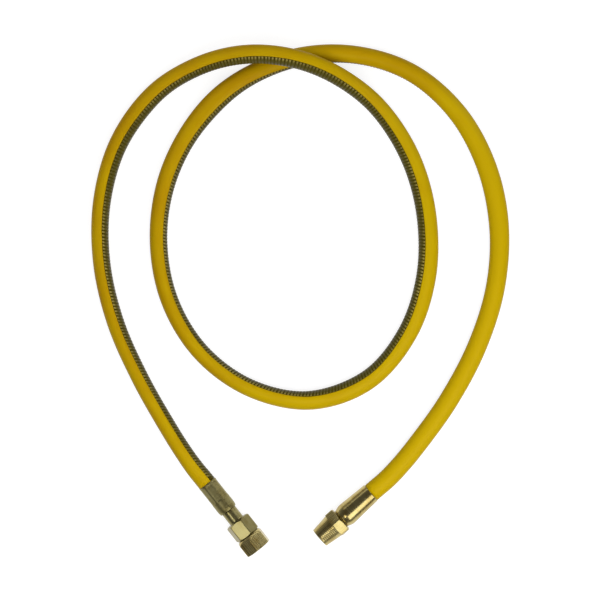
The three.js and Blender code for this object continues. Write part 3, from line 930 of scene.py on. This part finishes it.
def toward_light(tree, place):
    """0 at the shaded side of the coils and 1 at the side nearest the main light."""
    made = put(tree, "ShaderNodeVectorMath", {0: place, 1: PAINTED_LIGHT_HEADING}, operation="DOT_PRODUCT")
    return spread_to(tree, made.outputs["Value"], PAINTED_LIGHT_START, PAINTED_LIGHT_END, 0.0, 1.0)


def yellow_cover():
    """Smooth satin yellow in slow orange and lemon patches, with painted light: yellower toward the
    main lamp.
    """
    made, tree, surface = material_tree("yellow_cover")
    place = on_object(tree)
    patches = noise(tree, place, scale=16, detail=2)
    long_marks = noise(tree, on_surface(tree, 14, 70), scale=1, detail=2)
    # Painted light: the cover turns yellower toward the main lamp and more orange away from it
    painted_light_share = toward_light(tree, place)
    share = weighed(tree, (patches, 0.6), (long_marks, 0.6), (painted_light_share, 0.4))
    colour = ramp(tree, share, [(0.42, ORANGE), (0.88, YELLOW)])
    tree.links.new(colour, surface.inputs["Base Color"])
    surface.inputs["Roughness"].default_value = 0.42
    surface.inputs["Specular IOR Level"].default_value = 0.05
    lines = noise(tree, on_surface(tree, 30, 900), scale=1, detail=2)
    grain = noise(tree, place, scale=1500, detail=2)
    bumped(tree, surface, number(tree, "ADD", lines, grain), depth=0.00006, strength=0.5)
    return made


def strip_floor():
    """Satin olive between the ribs, with painted shade in the gaps, darkest near the strip's upper
    edge.
    """
    made, tree, surface = material_tree("strip_floor")
    height = parts_of(tree, unrolled(tree))[1]
    patchy = centred(tree, noise(tree, on_surface(tree, 120, 500), scale=1))
    # Painted shade: the strip floor darkens toward its upper edge, between the pale ribs
    outside_painted_shade = spread_to(tree, height, 0.003, 0.006, 1.0, 0.0)
    share = weighed(tree, (outside_painted_shade, 1.0), (patchy, 0.6))
    colour = ramp(tree, share, [(0.2, STRIP_GAP_PAINTED_SHADE), (0.8, STRIP_OLIVE)])
    tree.links.new(colour, surface.inputs["Base Color"])
    surface.inputs["Roughness"].default_value = 0.4
    surface.inputs["Specular IOR Level"].default_value = 0.05
    grain = noise(tree, on_object(tree), scale=900, detail=2)
    bumped(tree, surface, grain, depth=0.00005, strength=0.5)
    return made


def strip_rib():
    """Satin ribs with a painted highlight, pale in stretches near the strip's upper edge, and dark
    olive farther down.
    """
    made, tree, surface = material_tree("strip_rib")
    height = parts_of(tree, unrolled(tree))[1]
    patchy = centred(tree, noise(tree, on_surface(tree, 90, 200), scale=1))
    slow = noise(tree, on_surface(tree, 7, 0), scale=1, detail=1)
    stretches = spread_to(tree, slow, 0.4, 0.6, 0.35, 1.0)
    # Painted highlight: the ribs turn pale toward the strip's upper edge, in stretches
    painted_highlight_share = spread_to(tree, height, 0.0035, 0.0075, 0.0, 1.0)
    share = weighed(tree, (painted_highlight_share, stretches), (patchy, 0.5))
    colour = ramp(tree, share, [(0.2, RIB_DARK), (0.95, RIB_PAINTED_HIGHLIGHT)])
    tree.links.new(colour, surface.inputs["Base Color"])
    surface.inputs["Roughness"].default_value = 0.3
    surface.inputs["Specular IOR Level"].default_value = 0.25
    grain = noise(tree, on_object(tree), scale=1100, detail=2)
    bumped(tree, surface, grain, depth=0.00004, strength=0.5)
    return made


def plated(name, main, low, roughness, streaks, relief):
    """Plated steel: fine marks drawn along or turned round the axis, and soft stains."""
    made, tree, surface = material_tree(name)
    marks = noise(tree, on_surface(tree, *streaks), scale=1, detail=2, roughness=0.4)
    stains = noise(tree, on_object(tree), scale=110)
    share = weighed(tree, (marks, 0.45), (stains, 0.55))
    colour = ramp(tree, share, [(0.36, low), (0.56, main)])
    tree.links.new(colour, surface.inputs["Base Color"])
    tree.links.new(spread_to(tree, marks, 0.3, 0.7, 0.93 * roughness, 1.08 * roughness),
                   surface.inputs["Roughness"])
    surface.inputs["Metallic"].default_value = 1.0
    bumped(tree, surface, marks, depth=relief, strength=0.6)
    return made


def spring_wire():
    """Plain drawn wire."""
    made, tree, surface = material_tree("spring_wire")
    marks = noise(tree, on_object(tree), scale=400, detail=2)
    darker = tuple(0.6 * c for c in WIRE_GREY)
    colour = ramp(tree, marks, [(0.3, darker), (0.7, WIRE_GREY)])
    tree.links.new(colour, surface.inputs["Base Color"])
    surface.inputs["Metallic"].default_value = 1.0
    surface.inputs["Roughness"].default_value = 0.35
    return made


def washer_fibre():
    """Dense black fibre with a speckled face."""
    made, tree, surface = material_tree("washer_fibre")
    specks = noise(tree, on_object(tree), scale=1400)
    paler = tuple(4 * c for c in FIBRE_BLACK)
    colour = ramp(tree, specks, [(0.35, FIBRE_BLACK), (0.8, paler)])
    tree.links.new(colour, surface.inputs["Base Color"])
    surface.inputs["Roughness"].default_value = 0.75
    bumped(tree, surface, specks, depth=0.0001, strength=0.6)
    return made


def squeezed_cover():
    """The cover's yellow where the ferrules squeeze it, on pieces without an unrolled surface."""
    made, tree, surface = material_tree("squeezed_cover")
    place = on_object(tree)
    patches = noise(tree, place, scale=60, detail=2)
    colour = ramp(tree, patches, [(0.3, ORANGE), (0.7, YELLOW)])
    tree.links.new(colour, surface.inputs["Base Color"])
    surface.inputs["Roughness"].default_value = 0.5
    surface.inputs["Specular IOR Level"].default_value = 0.18
    grain = noise(tree, place, scale=900, detail=2)
    bumped(tree, surface, grain, depth=0.00005, strength=0.5)
    return made


# Floor and light

FLOOR_GREY = (0.34, 0.34, 0.34)
FLOOR_GLOW = 0.82
SKY_LOW = (0.42, 0.42, 0.41)
SKY_MIDDLE = (0.20, 0.20, 0.20)
SKY_TOP = (0.12, 0.12, 0.125)
FLOOR_HALF = 6
FLOOR_DROP = 0.0002
# What the lamps are aimed at
COILS = (*VIEW_CENTRE, 0.01)
TAIL_HEXAGON = (-0.0511, -0.0390, 0.024)


def make_floor():
    """A pale floor that shines white to the eye and still takes the object's shadow."""
    mesh = bpy.data.meshes.new("floor")
    half = FLOOR_HALF
    corners = [(-half, -half, 0), (half, -half, 0), (half, half, 0), (-half, half, 0)]
    mesh.from_pydata(corners, [], [(0, 1, 2, 3)])
    floor = bpy.data.objects.new("floor", mesh)
    floor.location = (*VIEW_CENTRE, -FLOOR_DROP)
    bpy.context.collection.objects.link(floor)
    made, tree, surface = material_tree("floor_white")
    tree.nodes.remove(surface)
    ray = put(tree, "ShaderNodeLightPath").outputs
    seen = number(tree, "MAXIMUM", ray["Is Camera Ray"], number(
        tree, "MAXIMUM", ray["Is Glossy Ray"], ray["Is Transmission Ray"]))
    diffuse = put(tree, "ShaderNodeBsdfDiffuse", {"Color": (*FLOOR_GREY, 1)}).outputs[0]
    glow = put(tree, "ShaderNodeEmission", {
        "Color": (1, 1, 1, 1), "Strength": number(tree, "MULTIPLY", seen, FLOOR_GLOW),
    }).outputs[0]
    both = put(tree, "ShaderNodeAddShader", {0: diffuse, 1: glow}).outputs[0]
    tree.links.new(both, tree.nodes["Material Output"].inputs["Surface"])
    mesh.materials.append(made)


def make_sky():
    """Soft room light, paler near the horizon than overhead."""
    world = bpy.data.worlds.new("room")
    bpy.context.scene.world = world
    world.use_nodes = True
    tree = world.node_tree
    direction = put(tree, "ShaderNodeTexCoord").outputs["Generated"]
    height = parts_of(tree, direction)[2]
    colour = ramp(tree, height, [(0.0, SKY_LOW), (0.25, SKY_MIDDLE), (0.55, SKY_TOP)])
    tree.links.new(colour, tree.nodes["Background"].inputs["Color"])


def make_lamp(name, aim, heading, tilt, distance, size, power, mirrored=True):
    """A soft lamp aimed at a point, from a heading on the floor and a tilt off the vertical.
    One that isn't mirrored gives light but shows in no shine."""
    heading = Vector((*heading, 0)).normalized()
    away = heading * math.sin(math.radians(tilt)) + Vector((0, 0, math.cos(math.radians(tilt))))
    data = bpy.data.lights.new(name, "AREA")
    data.shape = "RECTANGLE"
    data.size, data.size_y = size
    data.energy = power
    lamp = bpy.data.objects.new(name, data)
    lamp.location = Vector(aim) + away * distance
    lamp.rotation_euler = away.to_track_quat("Z", "Y").to_euler()
    lamp.visible_glossy = mirrored
    bpy.context.collection.objects.link(lamp)


# Everything put together

def finish_piece(piece, slot, *nodes):
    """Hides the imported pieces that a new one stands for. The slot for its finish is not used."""
    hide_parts(*nodes)
    return piece


make_camera()
make_floor()
make_sky()
make_lamp("key", COILS, heading=(-0.15, -1), tilt=24, distance=1.0,
          size=(0.7, 0.7), power=3.9, mirrored=False)
make_lamp("fill", COILS, heading=(-0.4, 0.9), tilt=40, distance=1.6,
          size=(1.6, 1.6), power=6.5, mirrored=False)
make_lamp("window", COILS, heading=(0.117, -0.993), tilt=45, distance=1.1,
          size=(0.75, 0.75), power=4.2)
make_lamp("small_panel", TAIL_HEXAGON, heading=(-0.97, -0.23), tilt=25, distance=1.2,
          size=(0.35, 0.3), power=1.7)
make_lamp("back_panel", COILS, heading=(0.31, 0.95), tilt=62, distance=1.3,
          size=(1.0, 0.35), power=1.3)
make_lamp("strip_light", COILS, heading=(1, 0), tilt=61, distance=1.3,
          size=(0.25, 1.0), power=2.5)

hose = HoseLine()
ribs = make_ribs(hose, strip_rib())
strip = make_strip(hose, strip_floor())
cover = finish_piece(make_cover(hose, yellow_cover()), "hose_cover", "hose")

dull_turned = plated("dull_turned", DULL_OLIVE, DULL_BROWN, roughness=0.44,
                     streaks=(25, 900), relief=0.00002)
dull_drawn = plated("dull_drawn", DULL_OLIVE, DULL_BROWN, roughness=0.30,
                     streaks=(2500, 25), relief=0.000002)
bright_turned = plated("bright_turned", BRIGHT_GOLD, BRIGHT_BROWN, roughness=0.22,
                     streaks=(20, 2500), relief=0.0000003)
bright_drawn = plated("bright_drawn", BRIGHT_GOLD, BRIGHT_BROWN, roughness=0.27,
                     streaks=(2500, 20), relief=0.0000003)

nut_seat = seat_at(ROUTE[0], ROUTE[1])
finish_piece(crimped_shell(nut_seat, dull_turned), "dull_plating", "nut_end_ferrule")
finish_piece(tail_piece(nut_seat, dull_drawn), "dull_plating", "nut_end_tail")
finish_piece(nut_piece(nut_seat, bright_drawn), "bright_plating", "swivel_nut")
male_seat = seat_at(ROUTE[-1], ROUTE[-2])
finish_piece(smooth_shell(male_seat, bright_turned), "bright_plating", "male_end_ferrule")
finish_piece(nipple_piece(male_seat, bright_drawn), "bright_plating", "male_end_nipple")

sleeve_cover = squeezed_cover()
for node, material, slot in (
    ("nut_end_hose_sleeve", sleeve_cover, "hose_cover"),
    ("male_end_hose_sleeve", sleeve_cover, "hose_cover"),
    ("nut_retaining_ring", spring_wire(), "spring_steel"),
    ("sealing_washer", washer_fibre(), "washer_fibre"),
):
    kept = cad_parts[node]
    kept.material_slots[0].material = material

bpy.context.scene.view_settings.view_transform = "Standard"
